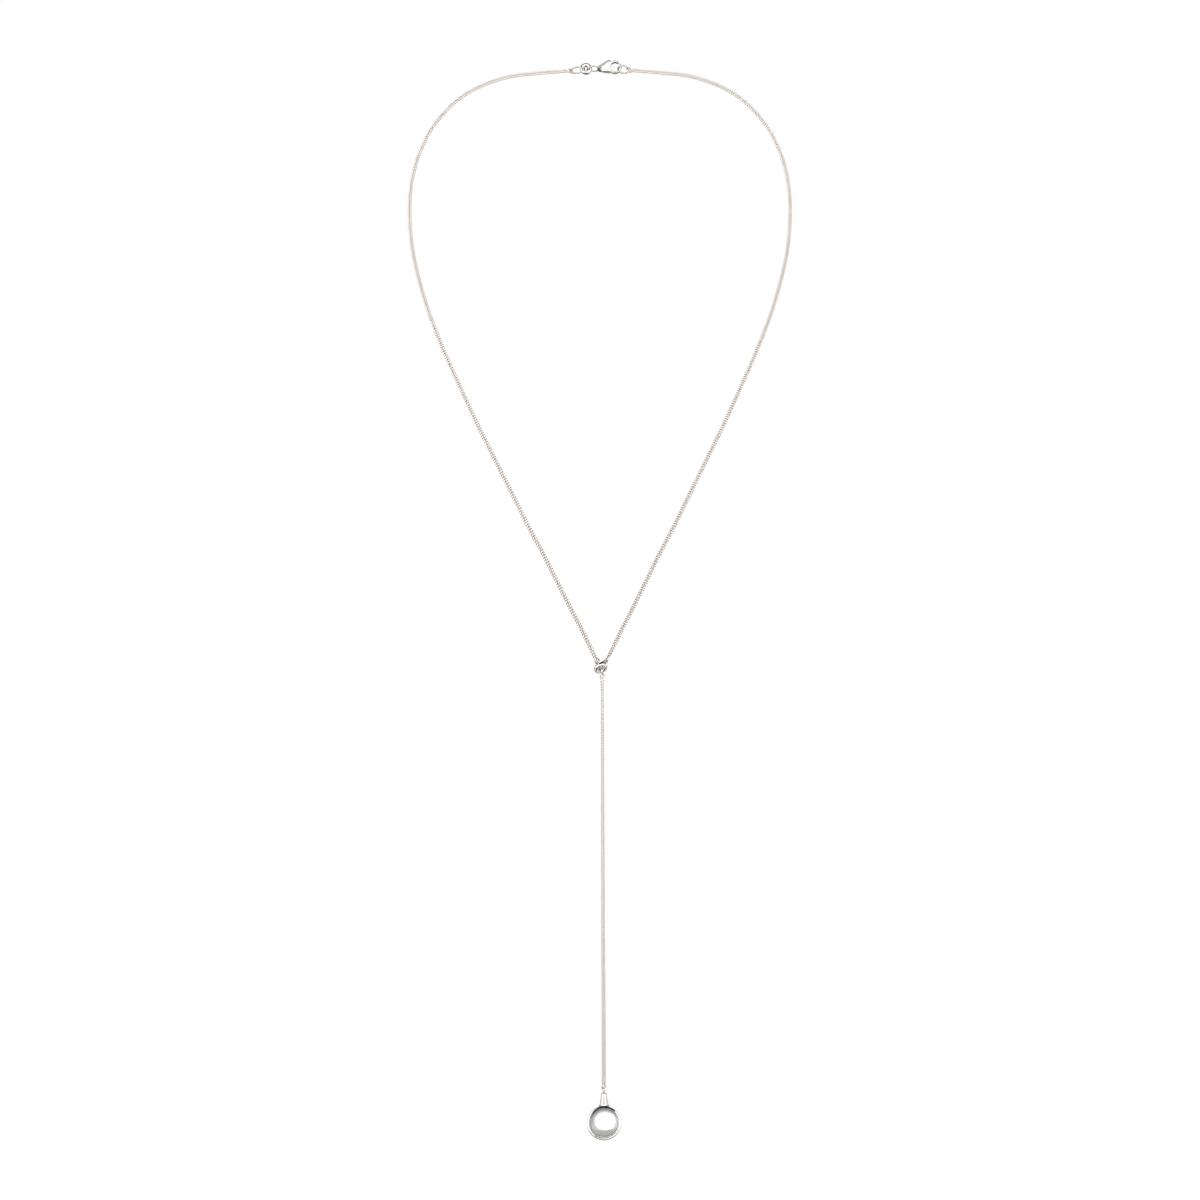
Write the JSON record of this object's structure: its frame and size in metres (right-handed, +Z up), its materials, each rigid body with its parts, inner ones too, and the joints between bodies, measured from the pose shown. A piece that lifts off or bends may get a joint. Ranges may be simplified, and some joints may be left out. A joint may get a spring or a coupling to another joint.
{
  "type": "y necklace with a round stone pendant",
  "caption": "Fine curb chain worn round the neck, joined by a heavy ring to a drop chain with a round cabochon pendant, closed by a lobster clasp at the nape.",
  "frame": {"origin": "middle of the clasp row at the nape, where the worn necklace hangs", "axes": "+Z up along the drop chain, +Y towards the wearer's back, +X to the right of a viewer who stands in front"},
  "size_m": [0.108, 0.0629, 0.2979],
  "materials": {
    "silver": "polished silver",
    "stone": "milky, polished and slightly translucent"
  },
  "bodies": {
    "necklace": {"clasp_body": "silver", "clasp_ring": "silver", "nape_ring": "silver", "end_ring_left": "silver", "end_ring_right": "silver", "chain_left": "silver", "chain_right": "silver", "y_ring": "silver", "y_link_left": "silver", "y_link_right": "silver", "y_link_drop": "silver", "drop_chain": "silver", "bail_link": "silver"},
    "lever": {"clasp_lever": "silver"},
    "pendant": {"pendant_setting": "silver", "stone": "stone"}
  },
  "joints": [
    {"name": "clasp_lever_hinge", "type": "hinge", "parent": "necklace", "child": "lever", "pos_m": [0.00294, 0, 0.00151], "axis": [0, 1, 0], "range_deg": [0, 20], "stiffness_Nm_per_rad": 0.006, "springref_deg": -17.19},
    {"name": "pendant_swing", "type": "hinge", "parent": "necklace", "child": "pendant", "pos_m": [0.00008, -0.05758, -0.2829], "axis": [0, 1, 0], "range_deg": [-60, 60]}
  ]
}
